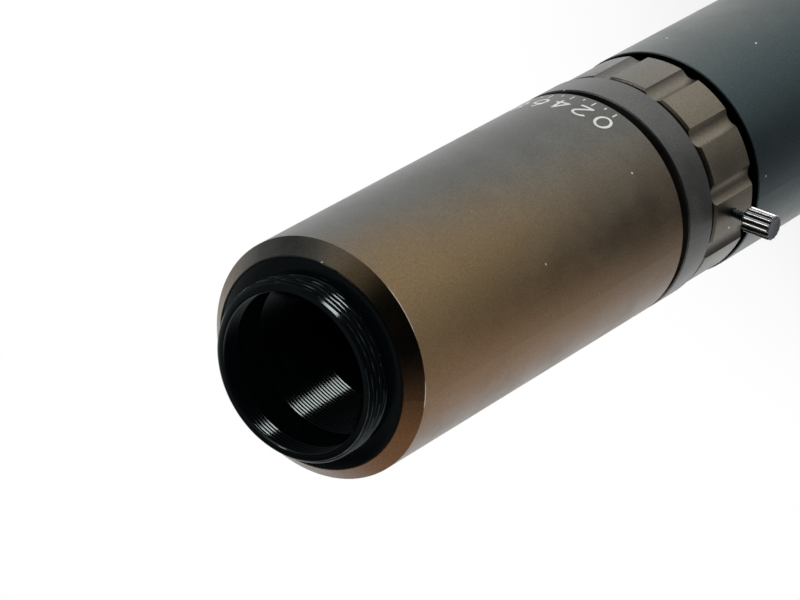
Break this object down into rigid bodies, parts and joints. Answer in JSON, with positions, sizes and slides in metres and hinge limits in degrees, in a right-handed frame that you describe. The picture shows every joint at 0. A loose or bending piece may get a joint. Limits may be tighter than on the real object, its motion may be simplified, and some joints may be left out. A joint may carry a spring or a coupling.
{
  "type": "telecentric lens",
  "caption": "Slim telecentric lens: C-mount thread, long barrels, and a scalloped iris ring that a thumbscrew locks.",
  "frame": {"origin": "centre of the camera flange face, on the optical axis", "axes": "+Z along the optical axis towards the camera; +X along the lock screw with the iris open; the object end is at -Z"},
  "size_m": [0.0406, 0.034, 0.164],
  "materials": {
    "bronze_anodise": "bead-blasted, dark bronze-grey anodised",
    "slate_anodise": "bead-blasted, black anodised",
    "gloss_black": "turned, gloss black anodised",
    "matt_black": "turned, matt black anodised",
    "coated_glass": "polished, anti-reflection coated",
    "plain_brass": "turned",
    "dark_steel": "black oxide",
    "blade_steel": "blackened spring steel",
    "nylon": "plain nylon"
  },
  "bodies": {
    "lens_body": {"rear_barrel": "bronze_anodise", "c_mount_adapter": "gloss_black", "rear_flint_lens": "coated_glass", "rear_crown_lens": "coated_glass", "rear_spacer": "matt_black", "rear_meniscus_lens": "coated_glass", "rear_retaining_ring": "matt_black", "iris_housing": "slate_anodise", "iris_base_plate": "matt_black", "iris_retaining_ring": "matt_black", "front_barrel": "slate_anodise", "middle_lens": "coated_glass", "middle_retaining_ring": "matt_black", "front_flint_lens": "coated_glass", "front_crown_lens": "coated_glass", "front_retaining_ring": "matt_black"},
    "iris_ring": {"grip_ring": "slate_anodise", "drive_screw": "dark_steel", "cam_ring": "plain_brass"},
    "lock_pad": {"lock_pad": "nylon"},
    "lock_screw": {"lock_screw": "dark_steel"},
    "blade_1": {"iris_blade_1": "blade_steel"},
    "blade_2": {"iris_blade_2": "blade_steel"},
    "blade_3": {"iris_blade_3": "blade_steel"},
    "blade_4": {"iris_blade_4": "blade_steel"},
    "blade_5": {"iris_blade_5": "blade_steel"},
    "blade_6": {"iris_blade_6": "blade_steel"},
    "blade_7": {"iris_blade_7": "blade_steel"},
    "blade_8": {"iris_blade_8": "blade_steel"}
  },
  "joints": [
    {"name": "iris_turn", "type": "hinge", "parent": "lens_body", "child": "iris_ring", "pos_m": [0, 0, -0.07892], "axis": [0, 0, 1], "range_deg": [0, 40]},
    {"name": "blade_1_turn", "type": "hinge", "parent": "lens_body", "child": "blade_1", "pos_m": [0.0109, 0, -0.07652], "axis": [0, 0, -1], "range_deg": [0, 33.5]},
    {"name": "blade_2_turn", "type": "hinge", "parent": "lens_body", "child": "blade_2", "pos_m": [0.00771, 0.00771, -0.07652], "axis": [0, 0, -1], "range_deg": [0, 33.5]},
    {"name": "blade_3_turn", "type": "hinge", "parent": "lens_body", "child": "blade_3", "pos_m": [0, 0.0109, -0.07652], "axis": [0, 0, -1], "range_deg": [0, 33.5]},
    {"name": "blade_4_turn", "type": "hinge", "parent": "lens_body", "child": "blade_4", "pos_m": [-0.00771, 0.00771, -0.07652], "axis": [0, 0, -1], "range_deg": [0, 33.5]},
    {"name": "blade_5_turn", "type": "hinge", "parent": "lens_body", "child": "blade_5", "pos_m": [-0.0109, 0, -0.07652], "axis": [0, 0, -1], "range_deg": [0, 33.5]},
    {"name": "blade_6_turn", "type": "hinge", "parent": "lens_body", "child": "blade_6", "pos_m": [-0.00771, -0.00771, -0.07652], "axis": [0, 0, -1], "range_deg": [0, 33.5]},
    {"name": "blade_7_turn", "type": "hinge", "parent": "lens_body", "child": "blade_7", "pos_m": [0, -0.0109, -0.07652], "axis": [0, 0, -1], "range_deg": [0, 33.5]},
    {"name": "blade_8_turn", "type": "hinge", "parent": "lens_body", "child": "blade_8", "pos_m": [0.00771, -0.00771, -0.07652], "axis": [0, 0, -1], "range_deg": [0, 33.5]},
    {"name": "lock_travel", "type": "slide", "parent": "iris_ring", "child": "lock_pad", "axis": [1, 0, 0], "range_m": [0, 0.0007]},
    {"name": "lock_turn", "type": "hinge", "parent": "lock_pad", "child": "lock_screw", "pos_m": [0.0191, 0, -0.07892], "axis": [1, 0, 0], "range_deg": [0, 720]}
  ],
  "couplings": [
    {"joint": "blade_1_turn", "follows": "iris_turn", "ratio": 0.8375},
    {"joint": "blade_2_turn", "follows": "iris_turn", "ratio": 0.8375},
    {"joint": "blade_3_turn", "follows": "iris_turn", "ratio": 0.8375},
    {"joint": "blade_4_turn", "follows": "iris_turn", "ratio": 0.8375},
    {"joint": "blade_5_turn", "follows": "iris_turn", "ratio": 0.8375},
    {"joint": "blade_6_turn", "follows": "iris_turn", "ratio": 0.8375},
    {"joint": "blade_7_turn", "follows": "iris_turn", "ratio": 0.8375},
    {"joint": "blade_8_turn", "follows": "iris_turn", "ratio": 0.8375},
    {"joint": "lock_turn", "follows": "lock_travel", "rad_per_m": 17952}
  ]
}
